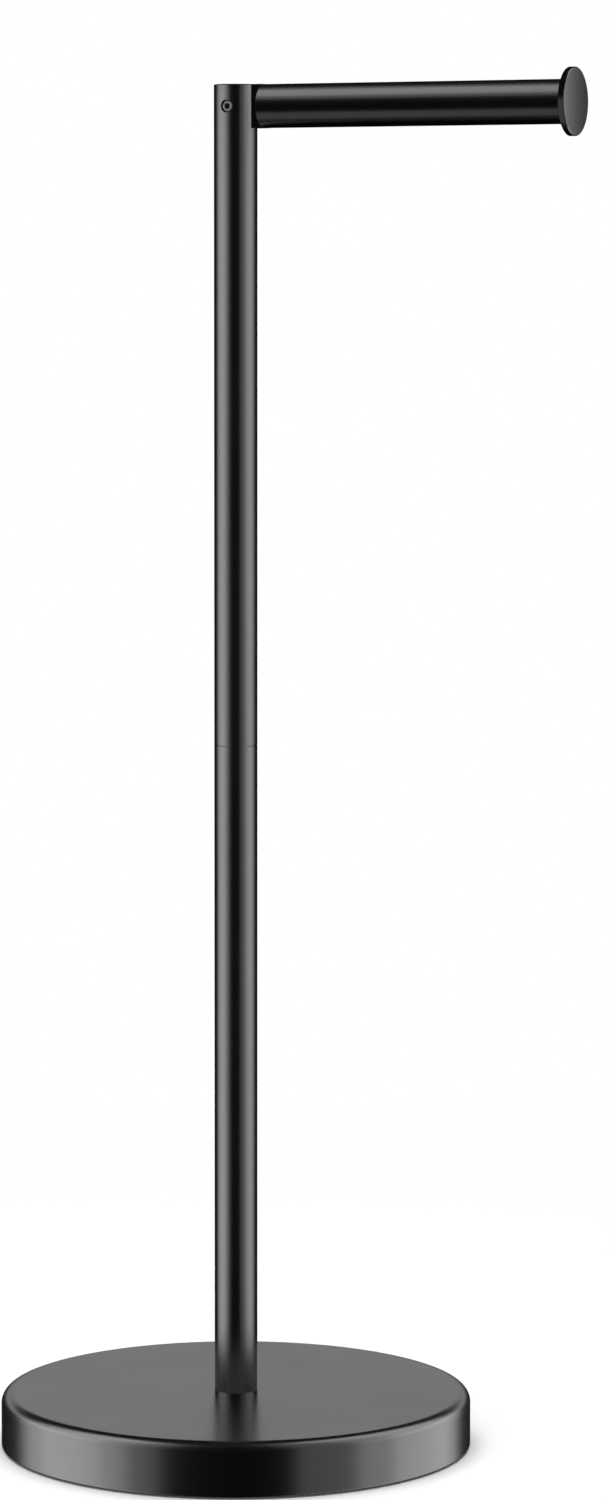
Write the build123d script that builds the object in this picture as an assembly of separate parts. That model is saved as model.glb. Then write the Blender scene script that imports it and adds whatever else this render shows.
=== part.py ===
from build123d import *
from math import cos, radians, sin, sqrt, tan
import os

# Freestanding toilet paper holder: a weighted round base, a post in two screwed lengths and a side arm.
# Millimetres, +Z up. The origin is the centre of the base's underside, the arm points along +X,
# and the set screw that clamps the arm is reached from -Y.

# Base
base_diameter = 209.0
cover_height = 23.5
cover_wall = 1.5
cover_edge_radius = 4.8
cover_edge_flats = 4
pad_thickness = 2.0
pad_stand = 0.8
pad_inset = 6.5
weight_clearance = 0.4
weight_floor = 8.0
weight_rim_width = 9.0
weight_rim_headroom = 1.0
weight_hub_wall = 9.5
weight_rib_width = 6.0
weight_rib_shoulder = 12.0
weight_rib_count = 6
weight_hub_foot_chamfer = 2.0
draft_angle = 4.0

# Bolt from beneath
bolt_diameter = 8.0
bolt_reach = 14.0
bolt_head_diameter = 13.0
bolt_head_height = 8.0
bolt_socket_width = 6.0
bolt_socket_depth = 4.0
bolt_seat_web = 6.0
bolt_well_clearance = 1.5
washer_diameter = 24.0
washer_thickness = 1.6
spring_washer_section = 2.4
spring_washer_thickness = 2.1
spring_washer_gap = 1.2
spring_washer_gap_slant = 35.0

# Post
tube_diameter = 19.0
tube_wall = 1.2
post_length = 577.4
lower_share = 0.5
seam_chamfer = 0.25
post_top_chamfer = 0.4
plug_length = 18.0
stud_diameter = 8.0
stud_length = 28.0

# Arm
arm_reach = 158.8
arm_gap = 4.15
tongue_width = 6.4
tongue_height = 19.0
tongue_edge_chamfer = 0.4
slot_clearance = 0.1
slot_back_wall = 1.7
head_floor = 8.0
screw_diameter = 5.0
screw_recess = 0.3
screw_socket_width = 2.5
screw_socket_depth = 2.8
screw_hole_diameter = 5.7
screw_edge_chamfer = 0.4
cap_diameter = 29.2
cap_thickness = 2.8
cap_front_chamfer = 0.5
cap_back_chamfer = 0.3
cap_stud_diameter = 6.0
cap_stud_length = 12.0
cap_face_web = 1.2

# Fits and cuts
plug_fit = 0.1
thread_fit = 0.1
bolt_hole_clearance = 0.5
overrun = 1.0

# Heights that follow
tube_radius = tube_diameter / 2
bore_radius = tube_radius - tube_wall
plug_radius = bore_radius - plug_fit
cover_top = pad_stand + cover_height
cover_inner_top = cover_top - cover_wall
cover_inner_radius = base_diameter / 2 - cover_wall
cover_inner_chamfer = (cover_edge_radius - cover_wall) * (2 - sqrt(2))
post_top = cover_top + post_length
seam_z = cover_top + post_length * lower_share
arm_z = post_top - tongue_height / 2
head_length = tongue_height + head_floor
arm_root = tube_radius + arm_gap
arm_end = arm_reach - cap_thickness
cap_hole_end = arm_reach - cap_face_web
bolt_seat = cover_inner_top - bolt_seat_web
bolt_well_radius = washer_diameter / 2 + bolt_well_clearance
bolt_head_top = bolt_seat - washer_thickness - spring_washer_thickness
bolt_tip = cover_top + bolt_reach


def disc(radius, low, high):
    """A plain cylinder about the Z axis between two heights."""
    return Pos(0, 0, low) * Cylinder(radius, high - low, align=(Align.CENTER, Align.CENTER, Align.MIN))


def edges_at(solid, height):
    """The edges of a body of revolution that lie flat at one height."""
    return solid.edges().filter_by(GeomType.CIRCLE).filter_by_position(Axis.Z, height, height)


def corner_at(outline, place):
    """The corner of a flat outline that lies nearest a place."""
    return outline.vertices().sort_by_distance(place)[0]


def hex_socket(width, low, high):
    """The hexagonal hollow that a key of this width enters."""
    profile = RegularPolygon(width / 2, 6, major_radius=False)
    return Pos(0, 0, low) * extrude(profile, amount=high - low)


def tapped_plug(low, bore_diameter):
    """A turned plug that is welded in a tube's end, tapped right through."""
    high = low + plug_length
    bore = disc(bore_diameter / 2 + thread_fit, low - overrun, high + overrun)
    return disc(plug_radius, low, high) - bore


def tube(low, high):
    """A length of the round tube that post and arm are cut from."""
    return disc(tube_radius, low, high) - disc(bore_radius, low - overrun, high + overrun)


def along_arm(solid):
    """Lays a piece that was drawn along Z on the arm's axis, its foot at the post's axis."""
    return Pos(0, 0, arm_z) * Rot(0, 90, 0) * solid


def base_cover():
    """Cover drawn from one sheet: flat top, straight skirt, and the round between them in short flats."""
    edge_round = []
    for flat in range(cover_edge_flats + 1):
        turn = radians(90 * flat / cover_edge_flats)
        across = base_diameter / 2 - cover_edge_radius * (1 - cos(turn))
        up = cover_top - cover_edge_radius * (1 - sin(turn))
        edge_round.append((across, up))
    skirt_foot = (base_diameter / 2, pad_stand)
    outline = Polyline((0, pad_stand), skirt_foot, *edge_round, (0, cover_top), close=True)
    outer = revolve(Plane.XZ * make_face(outline), axis=Axis.Z)

    hollow = disc(cover_inner_radius, pad_stand - overrun, cover_inner_top)
    hollow = chamfer(edges_at(hollow, cover_inner_top), length=cover_inner_chamfer)
    hole = disc(bolt_diameter / 2 + bolt_hole_clearance, cover_inner_top - overrun, cover_top + overrun)
    return outer - hollow - hole


def base_weight():
    """Casting with a flat floor, a drafted rim, a hub under the post and ribs that carry the cover."""
    low = pad_thickness
    floor_top = low + weight_floor
    rim_top = cover_top - cover_edge_radius - weight_rim_headroom
    radius = cover_inner_radius - weight_clearance
    rim_inside = radius - weight_rim_width
    hub_radius = bolt_well_radius + weight_hub_wall
    draft = tan(radians(draft_angle))

    hub_foot = (hub_radius + (cover_inner_top - floor_top) * draft, floor_top)
    section = make_face(
        Polyline(
            (0, low),
            (radius, low),
            (radius, rim_top),
            (rim_inside, rim_top),
            (rim_inside - (rim_top - floor_top) * draft, floor_top),
            hub_foot,
            (hub_radius, cover_inner_top),
            (0, cover_inner_top),
            close=True,
        )
    )
    section = chamfer(corner_at(section, hub_foot), length=weight_hub_foot_chamfer)
    casting = revolve(Plane.XZ * section, axis=Axis.Z)

    rib_outline = Polyline(
        (0, floor_top),
        (rim_inside + weight_rim_width / 2, floor_top),
        (rim_inside, rim_top),
        (rim_inside - weight_rib_shoulder, cover_inner_top),
        (0, cover_inner_top),
        close=True,
    )
    rib = extrude(Plane.XZ * make_face(rib_outline), amount=weight_rib_width / 2, both=True)
    for turn in range(weight_rib_count):
        casting = casting + Rot(0, 0, turn * 360 / weight_rib_count) * rib

    bolt_hole = disc(bolt_diameter / 2 + bolt_hole_clearance, low - overrun, cover_inner_top + overrun)
    return casting - bolt_hole - disc(bolt_well_radius, low - overrun, bolt_seat)


def base_pad():
    """Closed-cell foam disc glued under the weight, open in the middle for the bolt's key."""
    pad = disc(base_diameter / 2 - pad_inset, 0, pad_thickness)
    return pad - disc(bolt_well_radius, -overrun, pad_thickness + overrun)


def post_bolt():
    """Socket cap screw, head down in the weight's well, thread up in the post's foot."""
    head_low = bolt_head_top - bolt_head_height
    head = disc(bolt_head_diameter / 2, head_low, bolt_head_top)
    shank = disc(bolt_diameter / 2, bolt_head_top, bolt_tip)
    return head + shank - hex_socket(bolt_socket_width, head_low - overrun, head_low + bolt_socket_depth)


def post_bolt_washer():
    """Flat washer that spreads the bolt's pull over the weight's seat."""
    low = bolt_seat - washer_thickness
    hole = disc(bolt_diameter / 2 + bolt_hole_clearance, low - overrun, bolt_seat + overrun)
    return disc(washer_diameter / 2, low, bolt_seat) - hole


def post_spring_washer():
    """Split washer between the flat washer and the bolt's head, its cut on a slant."""
    low = bolt_head_top
    high = low + spring_washer_thickness
    inner_radius = bolt_diameter / 2 + bolt_hole_clearance
    outer_radius = inner_radius + spring_washer_section
    ring = disc(outer_radius, low, high) - disc(inner_radius, low - overrun, high + overrun)
    slit_height = 3 * spring_washer_thickness
    outwards = (Align.MIN, Align.CENTER, Align.CENTER)
    slit = Box(outer_radius + overrun, spring_washer_gap, slit_height, align=outwards)
    return ring - Pos(0, 0, (low + high) / 2) * Rot(spring_washer_gap_slant, 0, 0) * slit


def post_foot_plug():
    """Tapped plug, flush with the foot of the lower tube, that the bolt screws into."""
    return tapped_plug(cover_top, bolt_diameter)


def post_lower_tube():
    """Lower half of the post; a hairline chamfer marks its upper end."""
    length = tube(cover_top, seam_z)
    rim = edges_at(length, seam_z).sort_by(SortBy.RADIUS)[-1]
    return chamfer(rim, length=seam_chamfer)


def lower_joint_plug():
    """Tapped plug in the upper end of the lower tube."""
    return tapped_plug(seam_z - plug_length, stud_diameter)


def upper_joint_plug():
    """Tapped plug in the lower end of the upper tube."""
    return tapped_plug(seam_z, stud_diameter)


def post_joint_stud():
    """Stud that draws the two halves of the post together, half in each plug."""
    return disc(stud_diameter / 2, seam_z - stud_length / 2, seam_z + stud_length / 2)


def tongue_outline(side_gap):
    """The tongue seen from above: parallel sides and a half-round end past the set screw."""
    half = tongue_width / 2 + side_gap
    end_x = tongue_width / 2 + slot_clearance + slot_back_wall - plug_radius
    sides = Polyline((end_x, half), (arm_root, half), (arm_root, -half), (end_x, -half))
    end = ThreePointArc((end_x, -half), (end_x - half, 0), (end_x, half))
    return make_face(sides + end)


def head_slot():
    """The slot for the tongue, milled from the top and out through the arm's side."""
    low = arm_z - tongue_height / 2
    return Pos(0, 0, low) * extrude(tongue_outline(slot_clearance), amount=tongue_height + overrun)


def screw_bore(diameter):
    """A round hole from the front of the post to the slot, at the arm's height."""
    rod = disc(diameter / 2, 0, tube_radius + overrun)
    return Pos(0, 0, arm_z) * Rot(90, 0, 0) * rod


def post_upper_tube():
    """Upper half of the post, slotted for the tongue and drilled for the set screw."""
    length = tube(seam_z, post_top)
    foot_rim = edges_at(length, seam_z).sort_by(SortBy.RADIUS)[-1]
    length = chamfer(foot_rim, length=seam_chamfer)
    top_rim = edges_at(length, post_top).sort_by(SortBy.RADIUS)[-1]
    length = chamfer(top_rim, length=post_top_chamfer)
    return length - head_slot() - screw_bore(screw_hole_diameter)


def post_head_plug():
    """Solid head in the top of the post: the tongue's slot, and the tapped hole that meets it."""
    head = disc(plug_radius, post_top - head_length, post_top)
    return head - head_slot() - screw_bore(screw_diameter + 2 * thread_fit)


def arm_set_screw():
    """Socket set screw that presses on the flat of the tongue, just below the tube's surface."""
    tip = tongue_width / 2
    face = tube_radius - screw_recess
    screw = disc(screw_diameter / 2, tip, face)
    screw = chamfer(edges_at(screw, face), length=screw_edge_chamfer)
    screw = screw - hex_socket(screw_socket_width, face - screw_socket_depth, face + overrun)
    return Pos(0, 0, arm_z) * Rot(90, 0, 0) * screw


def arm_root_fitting():
    """Milled tongue, as high as the arm tube, on a turned plug that fills the tube's root."""
    tongue = Pos(0, 0, arm_z - tongue_height / 2) * extrude(tongue_outline(0), amount=tongue_height)
    rims = tongue.faces().filter_by(Axis.Z).edges()
    tongue = chamfer(rims, length=tongue_edge_chamfer)
    return tongue + along_arm(disc(plug_radius, arm_root, arm_root + plug_length))


def arm_tube():
    """Arm, of the post's own tube, its root edge broken like the post's seam."""
    length = tube(arm_root, arm_end)
    root_rim = edges_at(length, arm_root).sort_by(SortBy.RADIUS)[-1]
    return along_arm(chamfer(root_rim, length=seam_chamfer))


def arm_end_plug():
    """Tapped plug in the outer end of the arm tube."""
    return along_arm(tapped_plug(arm_end - plug_length, cap_stud_diameter))


def end_cap_stud():
    """Stud from the end plug into the cap."""
    high = cap_hole_end - thread_fit
    return along_arm(disc(cap_stud_diameter / 2, high - cap_stud_length, high))


def end_cap():
    """Turned disc, wider than the arm, with broken edges and a blind tapped hole at its back."""
    cap = disc(cap_diameter / 2, arm_end, arm_reach)
    cap = chamfer(edges_at(cap, arm_reach), length=cap_front_chamfer)
    cap = chamfer(edges_at(cap, arm_end), length=cap_back_chamfer)
    hole = disc(cap_stud_diameter / 2 + thread_fit, arm_end - overrun, cap_hole_end)
    return along_arm(cap - hole)


makers = (
    base_cover,
    base_weight,
    base_pad,
    post_bolt,
    post_bolt_washer,
    post_spring_washer,
    post_foot_plug,
    post_lower_tube,
    lower_joint_plug,
    post_joint_stud,
    upper_joint_plug,
    post_upper_tube,
    post_head_plug,
    arm_set_screw,
    arm_root_fitting,
    arm_tube,
    arm_end_plug,
    end_cap_stud,
    end_cap,
)

os.makedirs("parts", exist_ok=True)
for maker in makers:
    export_step(maker(), "parts/" + maker.__name__ + ".step")
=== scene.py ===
from math import cos, pi, radians, sin, sqrt, tan

import bmesh
import bpy
from mathutils import Matrix, Vector


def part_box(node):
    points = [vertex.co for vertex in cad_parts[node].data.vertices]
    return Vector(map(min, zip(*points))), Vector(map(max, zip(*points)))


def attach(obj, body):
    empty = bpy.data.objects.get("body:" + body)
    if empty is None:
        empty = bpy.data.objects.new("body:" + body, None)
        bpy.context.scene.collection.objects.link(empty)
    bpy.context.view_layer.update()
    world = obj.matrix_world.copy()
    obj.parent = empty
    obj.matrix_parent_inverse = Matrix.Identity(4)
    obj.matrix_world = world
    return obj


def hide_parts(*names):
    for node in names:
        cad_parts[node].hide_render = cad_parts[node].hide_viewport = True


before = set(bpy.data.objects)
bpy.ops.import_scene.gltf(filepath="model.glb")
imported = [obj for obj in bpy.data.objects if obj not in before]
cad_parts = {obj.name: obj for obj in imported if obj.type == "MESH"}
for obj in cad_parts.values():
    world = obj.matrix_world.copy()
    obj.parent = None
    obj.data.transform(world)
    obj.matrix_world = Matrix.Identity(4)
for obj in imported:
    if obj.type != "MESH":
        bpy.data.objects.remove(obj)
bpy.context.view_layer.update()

# Base cover
# The round base is closed by a cover drawn from 1.5 mm steel sheet, with a soft rounded edge and a straight
# skirt. It carries the same satin black powder coat as the post and the arm. Skirt and flat top are two
# meshes that meet on the flat, because the studio lights them differently.
mm = 0.001
cover_low, cover_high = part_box("base_cover")
cover_radius = cover_high.x
cover_top = cover_high.z
cover_wall = 1.5 * mm
cover_inside = cover_top - cover_wall
cover_edge_radius = 4.8 * mm
cover_hem_radius = 0.5 * mm
cover_hole_radius = 4.5 * mm
cover_seam_gap = 0.3 * mm
cover_flat_radius = cover_radius - cover_edge_radius - cover_seam_gap
cover_steps = 256
edge_segments = 14
inner_edge_segments = 8
hem_segments = 4
crease_angle = radians(50)
merge_distance = 0.001 * mm


def place_mesh(name, mesh):
    """Puts a modelled mesh in the scene."""
    data = bpy.data.meshes.new(name)
    mesh.to_mesh(data)
    mesh.free()
    placed = bpy.data.objects.new(name, data)
    bpy.context.scene.collection.objects.link(placed)
    return placed


def even_shading(piece):
    """Lets a piece's shading follow its larger faces."""
    shading = piece.modifiers.new("even_shading", "WEIGHTED_NORMAL")
    shading.keep_sharp = True


def smooth_piece(name, mesh):
    """Puts a modelled mesh in the scene as a smooth piece."""
    piece = place_mesh(name, mesh)
    piece.data.shade_smooth()
    even_shading(piece)
    return piece


def turn_outline(name, corners, steps, closed=True):
    """Spins an outline about Z. A corner is (radius, height), or (radius, height, rounding, segments)."""
    mesh = bmesh.new()
    outline = [mesh.verts.new((corner[0], 0, corner[1])) for corner in corners]
    joined = zip(outline, outline[1:] + outline[:1]) if closed else zip(outline, outline[1:])
    for start, end in joined:
        mesh.edges.new((start, end))
    for vertex, (_radius, _height, *rounding) in zip(outline, corners):
        if rounding:
            width, segments = rounding
            bmesh.ops.bevel(
                mesh,
                geom=[vertex],
                affect="VERTICES",
                offset=width,
                offset_type="OFFSET",
                segments=segments,
                profile=0.5,
                material=-1,
            )
    bmesh.ops.spin(
        mesh,
        geom=mesh.verts[:] + mesh.edges[:],
        cent=(0, 0, 0),
        axis=(0, 0, 1),
        angle=2 * pi,
        steps=steps,
        use_merge=True,
    )
    bmesh.ops.remove_doubles(mesh, verts=mesh.verts[:], dist=merge_distance)
    bmesh.ops.recalc_face_normals(mesh, faces=mesh.faces[:])
    return smooth_piece(name, mesh)


class Value:
    """One output of a material's node. Sums and products of values add Math nodes."""

    def __init__(self, finish, socket):
        self.finish = finish
        self.socket = socket

    def maths(self, operation, first, second):
        outputs = self.finish.node("ShaderNodeMath", {"operation": operation}, {0: first, 1: second})
        return outputs["Value"]

    def or_else(self, other):
        """The larger of two values."""
        return self.maths("MAXIMUM", self, other)

    def mixed(self, other, share):
        """This share of the value, with the other value for the rest."""
        return self * share + other * (1 - share)

    def __add__(self, other):
        return self.maths("ADD", self, other)

    __radd__ = __add__

    def __sub__(self, other):
        return self.maths("SUBTRACT", self, other)

    def __rsub__(self, other):
        return self.maths("SUBTRACT", other, self)

    def __mul__(self, other):
        return self.maths("MULTIPLY", self, other)

    __rmul__ = __mul__


class Finish:
    """A material, or the world, that is built up node by node."""

    def __init__(self, name, kind=bpy.data.materials):
        self.data = kind.new(name)
        self.data.use_nodes = True
        self.tree = self.data.node_tree
        self.tree.nodes.clear()

    def node(self, kind, settings=None, sockets=None):
        """Adds a node: its settings, then its sockets' values or links. Gives its outputs by name."""
        made = self.tree.nodes.new(kind)
        for setting, value in (settings or {}).items():
            setattr(made, setting, value)
        for key, value in (sockets or {}).items():
            usable = [socket for socket in made.inputs if socket.enabled]
            socket = usable[key] if isinstance(key, int) else next(s for s in usable if s.name == key)
            if isinstance(value, Value):
                self.tree.links.new(value.socket, socket)
            else:
                socket.default_value = value
        return {output.name: Value(self, output) for output in made.outputs if output.enabled}

    def place(self):
        return self.node("ShaderNodeTexCoord")["Object"]

    def noise(self, size, detail=2.0, roughness=0.5):
        """Soft noise between 0 and 1 whose blotches are about this large."""
        sockets = {"Vector": self.place(), "Scale": 1 / size, "Detail": detail, "Roughness": roughness}
        return self.node("ShaderNodeTexNoise", None, sockets)["Fac"]

    def between(self, share, low, high):
        """A colour that runs from one to the other with a share from 0 to 1."""
        sockets = {"Factor": share, "A": (*low, 1), "B": (*high, 1)}
        return self.node("ShaderNodeMix", {"data_type": "RGBA"}, sockets)["Result"]

    def bump(self, height, depth, strength=1.0):
        """Normals of a relief: height from 0 to 1 stands for this depth."""
        sockets = {"Height": height, "Distance": depth, "Strength": strength}
        return self.node("ShaderNodeBump", None, sockets)["Normal"]

    def close(self, sockets):
        """Ends the material with its surface shader."""
        shader = self.node("ShaderNodeBsdfPrincipled", None, sockets)["BSDF"]
        self.node("ShaderNodeOutputMaterial", None, {"Surface": shader})
        return self.data


coat_dark = (0.002, 0.002, 0.0021)
coat_pale = (0.0045, 0.0045, 0.0047)
coat_cloud_size = 38 * mm
coat_speck_size = 0.55 * mm
coat_skin_size = 1.3 * mm
coat_skin_depth = 0.006 * mm


def powder_coat():
    """Satin black powder coat, glossier than plain paint, with faint clouds and the skin of cured powder."""
    coat = Finish("black_powder_coat")
    clouds = coat.noise(coat_cloud_size, detail=3.0)
    specks = coat.noise(coat_speck_size, detail=1.0)
    skin = coat.noise(coat_skin_size, detail=2.0)
    return coat.close(
        {
            "Base Color": coat.between(clouds.mixed(specks, 0.7), coat_dark, coat_pale),
            "Roughness": 0.22 + clouds * 0.04 + specks * 0.03,
            "IOR": 2.0,
            "Normal": coat.bump(skin.mixed(specks, 0.75), coat_skin_depth),
        }
    )


black_coat = powder_coat()


def dress(piece, material, slot, *nodes):
    """Gives a new piece its finish, hangs it on the root body and hides the CAD nodes it takes the place of.
    """
    piece.data.materials.append(material)
    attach(piece, "root")
    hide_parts(*nodes)


cover_skirt = turn_outline(
    "cover_skirt",
    [
        (cover_flat_radius, cover_inside),
        (cover_radius - cover_wall, cover_inside, cover_edge_radius - cover_wall, inner_edge_segments),
        (cover_radius - cover_wall, cover_low.z, cover_hem_radius, hem_segments),
        (cover_radius, cover_low.z, cover_hem_radius, hem_segments),
        (cover_radius, cover_top, cover_edge_radius, edge_segments),
        (cover_flat_radius, cover_top),
    ],
    cover_steps,
)
cover_flat = turn_outline(
    "cover_flat",
    [
        (cover_flat_radius, cover_top),
        (cover_hole_radius, cover_top),
        (cover_hole_radius, cover_inside),
        (cover_flat_radius, cover_inside),
    ],
    cover_steps,
)
for piece in (cover_skirt, cover_flat):
    dress(piece, black_coat, "black_powder_coat", "base_cover")
    piece.data.set_sharp_from_angle(angle=crease_angle)

# Base weight
# A grey iron casting fills the cover and makes the stand hard to tip. Only a ring of it and the bolt's well
# show, from beneath. It is left as cast, with a thin dark primer.
iron_dark = (0.045, 0.044, 0.043)
iron_pale = (0.105, 0.1, 0.096)
iron_grain_size = 0.9 * mm
iron_blotch_size = 24 * mm
iron_grain_depth = 0.12 * mm


def repaint(node, material):
    """Gives a CAD node that stays its finish."""
    for material_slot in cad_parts[node].material_slots:
        material_slot.material = material


def cast_iron():
    iron = Finish("cast_weight")
    grain = iron.noise(iron_grain_size, detail=4.0, roughness=0.65)
    blotches = iron.noise(iron_blotch_size, detail=3.0)
    return iron.close(
        {
            "Base Color": iron.between(grain.mixed(blotches, 0.5), iron_dark, iron_pale),
            "Roughness": 0.6 + grain * 0.2,
            "Metallic": 0.3,
            "Normal": iron.bump(grain, iron_grain_depth),
        }
    )


repaint("base_weight", cast_iron())

# Base pad
# A disc of closed-cell foam is glued under the weight. It stands a little proud of the skirt, so that the
# stand rests on it without sliding or scratching. The key reaches the bolt through the hole in its middle.
pad_low, pad_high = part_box("base_pad")
pad_radius = pad_high.x
pad_hole_radius = 13.5 * mm
pad_edge_radius = 0.35 * mm
pad_edge_segments = 3
pad_steps = 192
foam_dark = (0.016, 0.016, 0.017)
foam_pale = (0.034, 0.034, 0.036)
foam_cell_size = 0.7 * mm
foam_patch_size = 9 * mm
foam_cell_depth = 0.08 * mm


def foam():
    rubber = Finish("foam_pad")
    cell_sockets = {"Vector": rubber.place(), "Scale": 1 / foam_cell_size}
    cells = rubber.node("ShaderNodeTexVoronoi", {"feature": "F1"}, cell_sockets)["Distance"]
    patches = rubber.noise(foam_patch_size)
    return rubber.close(
        {
            "Base Color": rubber.between(patches, foam_dark, foam_pale),
            "Roughness": 0.78 + patches * 0.12,
            "Normal": rubber.bump(cells, foam_cell_depth, strength=0.7),
        }
    )


pad = turn_outline(
    "foot_pad",
    [
        (pad_radius, pad_low.z, pad_edge_radius, pad_edge_segments),
        (pad_radius, pad_high.z),
        (pad_hole_radius, pad_high.z),
        (pad_hole_radius, pad_low.z, pad_edge_radius, pad_edge_segments),
    ],
    pad_steps,
)
dress(pad, foam(), "foam_pad", "base_pad")

# Bolt and washers
# A socket cap screw from beneath pulls the post down on the base, over a flat washer and a split spring
# washer. The screw is blacked in oil. The washers are zinc plated, like the hidden plugs and studs.
blacking_dark = (0.17, 0.17, 0.175)
blacking_pale = (0.24, 0.24, 0.245)
blacking_bloom_size = 2.2 * mm
blacking_depth = 0.004 * mm
zinc_dark = (0.5, 0.51, 0.53)
zinc_pale = (0.64, 0.65, 0.66)
zinc_spangle_size = 3 * mm
zinc_scratch_size = 0.25 * mm
zinc_scratch_depth = 0.003 * mm


def blacked_steel():
    steel = Finish("black_screw_steel")
    bloom = steel.noise(blacking_bloom_size, detail=3.0)
    return steel.close(
        {
            "Base Color": steel.between(bloom, blacking_dark, blacking_pale),
            "Metallic": 0.7,
            "Roughness": 0.28 + bloom * 0.12,
            "Normal": steel.bump(bloom, blacking_depth),
        }
    )


def zinc_plate():
    zinc = Finish("zinc_steel")
    spangle = zinc.noise(zinc_spangle_size, detail=2.0)
    scratches = zinc.noise(zinc_scratch_size, detail=2.0)
    return zinc.close(
        {
            "Base Color": zinc.between(spangle, zinc_dark, zinc_pale),
            "Metallic": 1.0,
            "Roughness": 0.3 + spangle * 0.1 + scratches * 0.08,
            "Normal": zinc.bump(scratches, zinc_scratch_depth),
        }
    )


screw_finish = blacked_steel()
zinc_finish = zinc_plate()
repaint("post_bolt", screw_finish)
for node in (
    "post_bolt_washer",
    "post_spring_washer",
    "post_foot_plug",
    "lower_joint_plug",
    "post_joint_stud",
    "upper_joint_plug",
    "arm_end_plug",
    "end_cap_stud",
):
    repaint(node, zinc_finish)

# Post
# Two lengths of 19 mm steel tube are screwed end to end. Their edges are broken where they meet, which
# leaves a hairline seam half-way up. The coat is sprayed on before they are put together.
foot_low, foot_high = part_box("post_lower_tube")
tube_radius = foot_high.x
tube_wall = 1.2 * mm
bore_radius = tube_radius - tube_wall
seam_radius = 0.25 * mm
seam_segments = 4
tube_steps = 128

lower_tube = turn_outline(
    "post_lower",
    [
        (tube_radius, foot_low.z),
        (tube_radius, foot_high.z, seam_radius, seam_segments),
        (bore_radius, foot_high.z),
        (bore_radius, foot_low.z),
    ],
    tube_steps,
)
dress(lower_tube, black_coat, "black_powder_coat", "post_lower_tube")

# Post head
# The top of the post is a solid plug, welded in and slotted from the side for the arm. A hole in front
# leads to the set screw that clamps the arm. Tube and plug are milled together.
top_low, top_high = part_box("post_upper_tube")
arm_low, arm_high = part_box("arm_tube")
tongue_low, tongue_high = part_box("arm_root_fitting")
head_low, head_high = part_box("post_head_plug")
arm_z = (arm_low.z + arm_high.z) / 2
post_top = top_high.z
post_top_radius = 0.45 * mm
post_top_segments = 5
plug_radius = head_high.y
tongue_half = 3.2 * mm
slot_gap = 0.1 * mm
slot_reach = tube_radius + 4 * mm
screw_hole_radius = 2.85 * mm
tapped_hole_radius = 2.6 * mm
milled_edge = 0.12 * mm
overrun = 1 * mm
rod_segments = 96
bar_slack = 0.01 * mm
broken_edge_angle = radians(40)
across_post = Matrix.Rotation(radians(90), 4, "X")


def tongue_form(name, side_gap, low, high, far_x):
    """The tongue's shape from above, a bar with one half-round end, raised between two heights."""
    half = tongue_half + side_gap
    end_x = tongue_low.x + tongue_half
    mesh = bmesh.new()
    rounded = bmesh.ops.create_circle(mesh, cap_ends=False, radius=half, segments=rod_segments)["verts"]
    bmesh.ops.translate(mesh, verts=rounded, vec=(end_x, 0, low))
    spare = [vertex for vertex in rounded if vertex.co.x > end_x + bar_slack]
    bmesh.ops.delete(mesh, geom=spare, context="VERTS")
    ends = [vertex for vertex in mesh.verts if len(vertex.link_edges) == 1]
    far = [mesh.verts.new((far_x, vertex.co.y, low)) for vertex in ends]
    for near_vertex, far_vertex in zip(ends, far):
        mesh.edges.new((near_vertex, far_vertex))
    mesh.edges.new(far)
    bottom = bmesh.ops.contextual_create(mesh, geom=mesh.edges[:])["faces"]
    raised = bmesh.ops.extrude_face_region(mesh, geom=bottom)["geom"]
    top_verts = [item for item in raised if isinstance(item, bmesh.types.BMVert)]
    bmesh.ops.translate(mesh, verts=top_verts, vec=(0, 0, high - low))
    bmesh.ops.recalc_face_normals(mesh, faces=mesh.faces[:])
    return smooth_piece(name, mesh)


def rod_form(name, radius, length, turn, place, segments=rod_segments):
    """A plain rod, turned and set in place by its middle."""
    mesh = bmesh.new()
    bmesh.ops.create_cone(
        mesh, cap_ends=True, segments=segments, radius1=radius, radius2=radius, depth=length
    )
    bmesh.ops.transform(mesh, matrix=Matrix.Translation(place) @ turn, verts=mesh.verts[:])
    return smooth_piece(name, mesh)


def cut(piece, operation, *tools):
    """Cuts tools from a piece, or joins them to it, for good, and clears tools and old shading away."""
    for tool in tools:
        change = piece.modifiers.new("cut", "BOOLEAN")
        change.operation = operation
        change.solver = "EXACT"
        change.object = tool
    graph = bpy.context.evaluated_depsgraph_get()
    result = bpy.data.meshes.new_from_object(piece.evaluated_get(graph))
    result.attributes.remove(result.attributes["custom_normal"])
    piece.modifiers.clear()
    piece.data = result
    for tool in tools:
        bpy.data.objects.remove(tool)


def soften(piece, width, segments=3):
    """Breaks the sharp edges of a piece, then evens its shading."""
    edges = piece.modifiers.new("broken_edges", "BEVEL")
    edges.width = width
    edges.segments = segments
    edges.limit_method = "ANGLE"
    edges.angle_limit = broken_edge_angle
    even_shading(piece)


def head_tools(hole_radius):
    """The slot for the tongue and the round hole from the front, as two cutting tools."""
    slot = tongue_form("slot_tool", slot_gap, tongue_low.z, post_top + overrun, slot_reach)
    hole_length = tube_radius + overrun
    hole = rod_form("hole_tool", hole_radius, hole_length, across_post, (0, -hole_length / 2, arm_z))
    return slot, hole


upper_tube = turn_outline(
    "post_upper",
    [
        (tube_radius, top_low.z, seam_radius, seam_segments),
        (tube_radius, post_top, post_top_radius, post_top_segments),
        (bore_radius, post_top),
        (bore_radius, top_low.z),
    ],
    tube_steps,
)
cut(upper_tube, "DIFFERENCE", *head_tools(screw_hole_radius))
upper_tube.data.set_sharp_from_angle(angle=crease_angle)
even_shading(upper_tube)
dress(upper_tube, black_coat, "black_powder_coat", "post_upper_tube")

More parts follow.
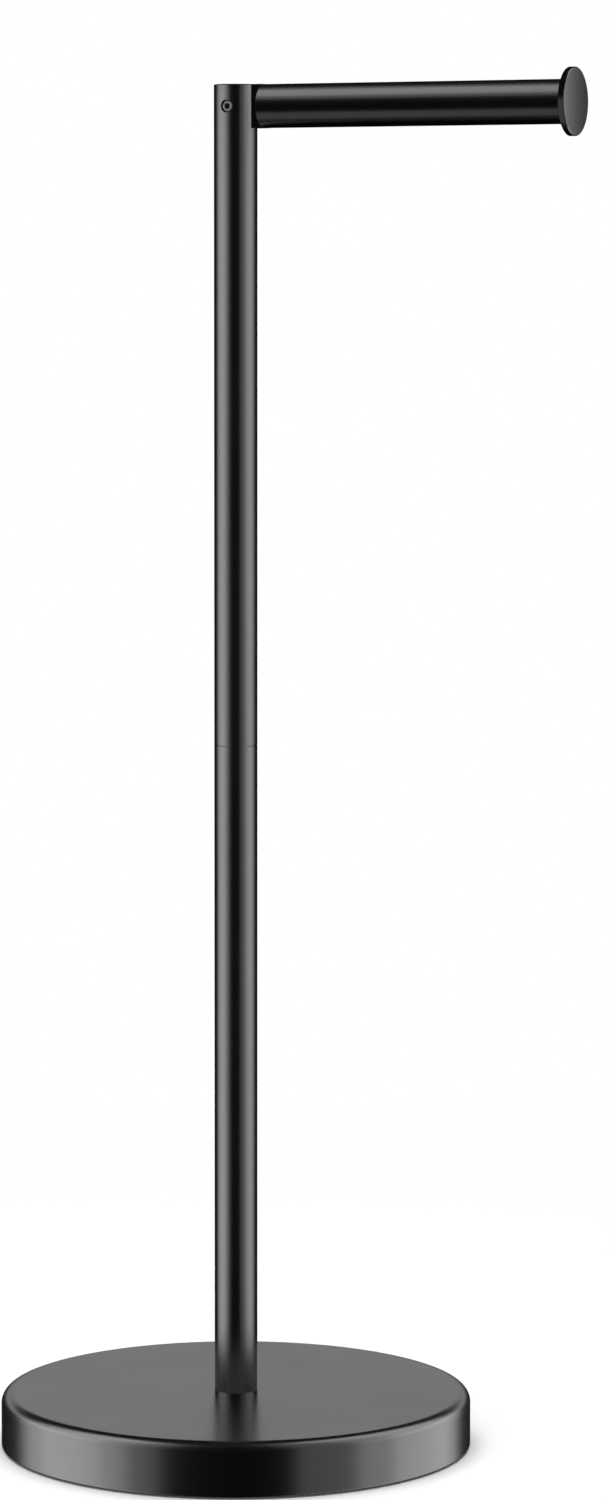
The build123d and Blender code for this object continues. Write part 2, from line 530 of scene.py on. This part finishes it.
head = turn_outline(
    "post_head",
    [
        (0, head_low.z),
        (plug_radius, head_low.z),
        (plug_radius, post_top),
        (0, post_top),
    ],
    tube_steps,
    closed=False,
)
cut(head, "DIFFERENCE", *head_tools(tapped_hole_radius))
soften(head, milled_edge)
dress(head, black_coat, "black_powder_coat", "post_head_plug")

# Set screw
# A short socket screw clamps the tongue in its slot. It sits a little below the post's surface, and its
# hexagonal socket takes a 2.5 mm key.
screw_low, screw_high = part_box("arm_set_screw")
screw_radius = 2.5 * mm
screw_tip = -screw_high.y
screw_sink = 0.75 * mm
screw_face = -screw_low.y - screw_sink
screw_edge = 0.5 * mm
screw_edge_segments = 4
screw_steps = 64
socket_width = 2.5 * mm
socket_depth = 2.8 * mm
socket_edge = 0.06 * mm

screw = turn_outline(
    "set_screw",
    [
        (0, screw_tip),
        (screw_radius, screw_tip),
        (screw_radius, screw_face, screw_edge, screw_edge_segments),
        (0, screw_face),
    ],
    screw_steps,
    closed=False,
)
socket = rod_form(
    "socket_tool",
    socket_width / sqrt(3),
    socket_depth + overrun,
    Matrix.Identity(4),
    (0, 0, screw_face - (socket_depth - overrun) / 2),
    segments=6,
)
cut(screw, "DIFFERENCE", socket)
screw.data.transform(Matrix.Translation((0, 0, arm_z)) @ across_post)
soften(screw, socket_edge, segments=2)
dress(screw, screw_finish, "black_screw_steel", "arm_set_screw")

# Arm root
# The arm ends in a tongue milled from bar, as high as the tube, on a plug that closes the tube. The tongue
# stands in the post's slot, where the set screw presses on its flat.
tongue_edge = 0.4 * mm
root_plug_length = tongue_high.x - arm_low.x
along_arm = Matrix.Rotation(radians(90), 4, "Y")

tongue = tongue_form("arm_tongue", 0, tongue_low.z, tongue_high.z, arm_low.x + overrun)
root_plug = rod_form(
    "root_plug",
    plug_radius,
    root_plug_length,
    along_arm,
    (arm_low.x + root_plug_length / 2, 0, arm_z),
)
cut(tongue, "UNION", root_plug)
soften(tongue, tongue_edge)
dress(tongue, black_coat, "black_powder_coat", "arm_root_fitting")

# Arm
# The arm is the same 19 mm tube as the post. Its root edge is broken like the post's seam, and the end cap
# is drawn up tight against its outer end.


def lay_along_arm(piece):
    """Lays a piece that was turned about Z on the arm's axis."""
    piece.data.transform(Matrix.Translation((0, 0, arm_z)) @ along_arm)


arm = turn_outline(
    "arm_sleeve",
    [
        (tube_radius, arm_low.x, seam_radius, seam_segments),
        (tube_radius, arm_high.x),
        (bore_radius, arm_high.x),
        (bore_radius, arm_low.x),
    ],
    tube_steps,
)
lay_along_arm(arm)
dress(arm, black_coat, "black_powder_coat", "arm_tube")

# End cap
# A solid disc, turned from bar and wider than the tube, stops what is on the arm from sliding off. It screws
# on a stud from behind, so its face is plain.
cap_low, cap_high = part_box("end_cap")
cap_radius = cap_high.y
cap_face = cap_high.x
cap_front_radius = 0.5 * mm
cap_front_segments = 6
cap_back_radius = 0.3 * mm
cap_back_segments = 4
cap_hole_radius = 3.1 * mm
cap_web = 1.2 * mm
cap_hole_end = cap_face - cap_web
cap_steps = 160

cap = turn_outline(
    "cap_disc",
    [
        (0, cap_face),
        (cap_radius, cap_face, cap_front_radius, cap_front_segments),
        (cap_radius, cap_low.x, cap_back_radius, cap_back_segments),
        (cap_hole_radius, cap_low.x),
        (cap_hole_radius, cap_hole_end),
        (0, cap_hole_end),
    ],
    cap_steps,
    closed=False,
)
lay_along_arm(cap)
dress(cap, black_coat, "black_powder_coat", "end_cap")

# Camera
# It stands where the photograph was taken from: to the right of the set screw's side, a little below the
# top of the post, looking slightly down through a long lens.
camera_place = (0.91953, -1.96300, 0.51413)
camera_azimuth = radians(24.30)
camera_pitch = radians(5.361)
camera_lean = radians(0.056)
sensor_long_side = 36.0
focal_length = 118.505

lens = bpy.data.cameras.new("studio_camera")
lens.sensor_width = sensor_long_side
lens.lens = focal_length
lens.clip_start = 0.1
lens.clip_end = 50
camera = bpy.data.objects.new("studio_camera", lens)
bpy.context.scene.collection.objects.link(camera)
camera.matrix_world = (
    Matrix.Translation(camera_place)
    @ Matrix.Rotation(camera_azimuth, 4, "Z")
    @ Matrix.Rotation(radians(90) - camera_pitch, 4, "X")
    @ Matrix.Rotation(camera_lean, 4, "Z")
)
bpy.context.scene.camera = camera

# Floor
# A wide pale floor that keeps the stand's soft shadow and fades into the white background further out.
# It is clear from beneath, so that the underside can be looked at.
floor_size = 12.0
floor_drop = 0.2 * mm
floor_colour = (0.95, 0.95, 0.95)
floor_fade = (0.25, 0.95)
white = (1, 1, 1, 1)


def soft_step(value, start, end):
    """Rises softly from 0 to 1 as a value goes from start to end."""
    sockets = {"Value": value, "From Min": start, "From Max": end}
    return value.finish.node("ShaderNodeMapRange", {"interpolation_type": "SMOOTHSTEP"}, sockets)["Result"]


def pale_floor():
    paper = Finish("pale_floor")
    distance = paper.node("ShaderNodeVectorMath", {"operation": "LENGTH"}, {0: paper.place()})["Value"]
    seen = paper.node("ShaderNodeLightPath")["Is Camera Ray"]
    lit = paper.node("ShaderNodeBsdfDiffuse", None, {"Color": (*floor_colour, 1)})["BSDF"]
    glow = paper.node("ShaderNodeEmission", None, {"Color": white, "Strength": 1.0})["Emission"]
    shares = {0: soft_step(distance, *floor_fade) * seen, 1: lit, 2: glow}
    top = paper.node("ShaderNodeMixShader", None, shares)["Shader"]
    beneath = paper.node("ShaderNodeNewGeometry")["Backfacing"]
    clear = paper.node("ShaderNodeBsdfTransparent")["BSDF"]
    surface = paper.node("ShaderNodeMixShader", None, {0: beneath, 1: top, 2: clear})["Shader"]
    paper.node("ShaderNodeOutputMaterial", None, {"Surface": surface})
    return paper.data


floor_mesh = bmesh.new()
bmesh.ops.create_grid(floor_mesh, x_segments=1, y_segments=1, size=floor_size / 2)
bmesh.ops.translate(floor_mesh, verts=floor_mesh.verts[:], vec=(0, 0, -floor_drop))
floor = place_mesh("floor", floor_mesh)
floor.data.materials.append(pale_floor())
floor.visible_diffuse = False
floor.visible_glossy = False
floor.visible_shadow = False

# Lamps of the post and the base
# A tall soft box stands close on the left and another on the right, each built up of boxes inside each
# other so that its light fades towards the edges. Only gloss shows them. Plain lamps light the colours.
left_distance = 0.3
right_distance = 0.17
box_low = -0.6
box_high = 0.66
plain_size = (2.0, 2.0)


def studio_matrix(angle, distance, height, tilt=0.0):
    """A place round the stand that faces it. The angle runs from the camera's side to the camera's right."""
    heading = camera_azimuth + radians(angle)
    place = Vector((sin(heading) * distance, -cos(heading) * distance, height))
    turn = Matrix.Rotation(heading, 4, "Z") @ Matrix.Rotation(radians(90) + tilt, 4, "X")
    return Matrix.Translation(place) @ turn


def soft_box(name, radiance, size, matrix, glossy=True):
    """A rectangular lamp of an even brightness, for gloss alone or for everything else."""
    data = bpy.data.lights.new(name, "AREA")
    data.shape = "RECTANGLE"
    data.size, data.size_y = size
    data.energy = radiance * pi * size[0] * size[1]
    lamp = bpy.data.objects.new(name, data)
    lamp.matrix_world = matrix
    lamp.visible_camera = False
    lamp.visible_glossy = glossy
    lamp.visible_diffuse = not glossy
    bpy.context.scene.collection.objects.link(lamp)
    return lamp


def width_of_view(from_angle, to_angle, distance):
    """The width that fills the view between two angles at this distance."""
    return 2 * distance * tan(radians(to_angle - from_angle) / 2)


def tall_box(name, radiance, from_angle, to_angle, distance):
    """A tall box that fills the view from the post between two angles."""
    size = (width_of_view(from_angle, to_angle, distance), box_high - box_low)
    matrix = studio_matrix((from_angle + to_angle) / 2, distance, (box_low + box_high) / 2)
    return soft_box(name, radiance, size, matrix)


def light_only(lamps, pieces, spared=False):
    """Lets lamps light these pieces alone, or all but them."""
    group = bpy.data.collections.new("lit_pieces")
    for piece in pieces:
        group.objects.link(piece)
    for member in group.collection_objects:
        member.light_linking.link_state = "EXCLUDE" if spared else "INCLUDE"
    for lamp in lamps:
        lamp.light_linking.receiver_collection = group
    return group


post_boxes = [
    tall_box("left_box_outer", radiance=0.62, from_angle=-116, to_angle=-32, distance=left_distance),
    tall_box("left_box_middle", radiance=0.96, from_angle=-107, to_angle=-46, distance=left_distance),
    tall_box("left_box_inner", radiance=0.77, from_angle=-92, to_angle=-58, distance=left_distance),
    tall_box("right_box_outer", radiance=0.48, from_angle=24, to_angle=119, distance=right_distance),
    tall_box("right_box_middle", radiance=0.78, from_angle=46, to_angle=107, distance=right_distance),
    tall_box("right_box_inner", radiance=0.74, from_angle=61, to_angle=96, distance=right_distance),
]
spared_pieces = light_only(post_boxes, [arm, tongue, cap, cover_flat], spared=True)
for lamp in post_boxes:
    lamp.light_linking.blocker_collection = spared_pieces
overhead = Matrix.Translation((0, 0, 2.2))
front = studio_matrix(angle=-20, distance=2.6, height=1.4, tilt=radians(-22))
soft_box("plain_top", radiance=3.5, size=plain_size, matrix=overhead, glossy=False)
soft_box("plain_front", radiance=1.2, size=plain_size, matrix=front, glossy=False)

# Lamps of the arm and the cap
# The arm lies across the tall boxes, so it has long boxes of its own that run along it, a bright one above
# its front and a weak one below. The cap has a weak one below too, a box beside it that shades off across
# its face, and one in front.
arm_span = (-1.5, 1.6)
cap_span = (-1.5, 0.2)
outer_distance = 0.8
inner_distance = 0.76
beside_cap = Matrix.Translation((0.2, 0.0485, arm_z)) @ along_arm
before_cap = Matrix.Translation((1.0, 0, arm_z)) @ along_arm


def long_box(name, radiance, from_angle, to_angle, distance=outer_distance, span=arm_span):
    """A box along the arm that fills the view from it between two angles above the level in front."""
    from_x, to_x = span
    middle = radians((from_angle + to_angle) / 2)
    place = Vector(((from_x + to_x) / 2, -cos(middle) * distance, arm_z + sin(middle) * distance))
    size = (to_x - from_x, width_of_view(from_angle, to_angle, distance))
    matrix = Matrix.Translation(place) @ Matrix.Rotation(radians(90) - middle, 4, "X")
    return soft_box(name, radiance, size, matrix)


arm_boxes = [
    long_box("arm_upper_outer", radiance=0.52, from_angle=32, to_angle=104),
    long_box("arm_upper_inner", radiance=1.08, from_angle=49, to_angle=90, distance=inner_distance),
    long_box("arm_lower", radiance=0.36, from_angle=-76, to_angle=-36),
]
light_only(arm_boxes, [arm, tongue])
cap_boxes = [
    long_box("cap_lower", radiance=0.35, from_angle=-80, to_angle=8, span=cap_span),
    soft_box("cap_side", radiance=1.95, size=(0.8, 0.067), matrix=beside_cap),
    soft_box("cap_front", radiance=0.5, size=(0.7, 1.2), matrix=before_cap),
]
light_only(cap_boxes, [cap])

# Lamps of the flat tops
# The base's flat top and the top of the post reflect a low wide box in front, which views from behind show,
# and a square box overhead, which keeps them a dark grey from above.
low_in_front = studio_matrix(angle=0, distance=3.0, height=0.75)
above_stand = Matrix.Translation((0, 0, 1.2))
top_boxes = [
    soft_box("top_from_front", radiance=0.85, size=(10.0, 0.9), matrix=low_in_front),
    soft_box("top_from_above", radiance=0.5, size=(4.5, 4.5), matrix=above_stand),
]
light_only(top_boxes, [cover_flat, head])

# Dim studio
# Black drapes hang all round, far off, with a pale strip low down behind the stand that its flat tops
# reflect. They give the round metal its dark middle and edges. Only gloss shows them.
drape_radius = 12.0
drape_black = (0, 0, 0)
strip_grey = (0.81, 0.81, 0.81)
strip_foot = (0.1, 0.19)
strip_top = (0.28, 0.38)
strip_turn = (-0.7, 0.1)


def drapes():
    cloth = Finish("studio_drapes")
    direction = cloth.node("ShaderNodeVectorMath", {"operation": "NORMALIZE"}, {0: cloth.place()})["Vector"]
    rise = cloth.node("ShaderNodeSeparateXYZ", None, {0: direction})["Z"]
    away = (-sin(camera_azimuth), cos(camera_azimuth), 0)
    sockets = {0: direction, 1: away}
    behind = cloth.node("ShaderNodeVectorMath", {"operation": "DOT_PRODUCT"}, sockets)["Value"]
    strip = soft_step(rise, *strip_foot) * (1 - soft_step(rise, *strip_top)) * soft_step(behind, *strip_turn)
    colour = cloth.between(strip, drape_black, strip_grey)
    glow = cloth.node("ShaderNodeEmission", None, {"Color": colour, "Strength": 1.0})["Emission"]
    cloth.node("ShaderNodeOutputMaterial", None, {"Surface": glow})
    return cloth.data


dome_mesh = bmesh.new()
bmesh.ops.create_uvsphere(dome_mesh, u_segments=48, v_segments=24, radius=drape_radius)
dome = place_mesh("dome", dome_mesh)
dome.data.materials.append(drapes())
light_only([dome], [cover_skirt, cover_flat, head])
dome.visible_camera = False
dome.visible_diffuse = False
dome.visible_shadow = False
dome.visible_transmission = False

# Background
# All round, the studio is white for the camera and for what reflects it, and lights everything at one
# plain level.
plain_level = 0.35

backdrop = Finish("studio", bpy.data.worlds)
rays = backdrop.node("ShaderNodeLightPath")
looked_at = rays["Is Camera Ray"].or_else(rays["Is Glossy Ray"]).or_else(rays["Is Transmission Ray"])
strength = looked_at * (1 - plain_level) + plain_level
sky = backdrop.node("ShaderNodeBackground", None, {"Color": white, "Strength": strength})
backdrop.node("ShaderNodeOutputWorld", None, {"Surface": sky["Background"]})
bpy.context.scene.world = backdrop.data

bpy.context.scene.view_settings.view_transform = "Standard"
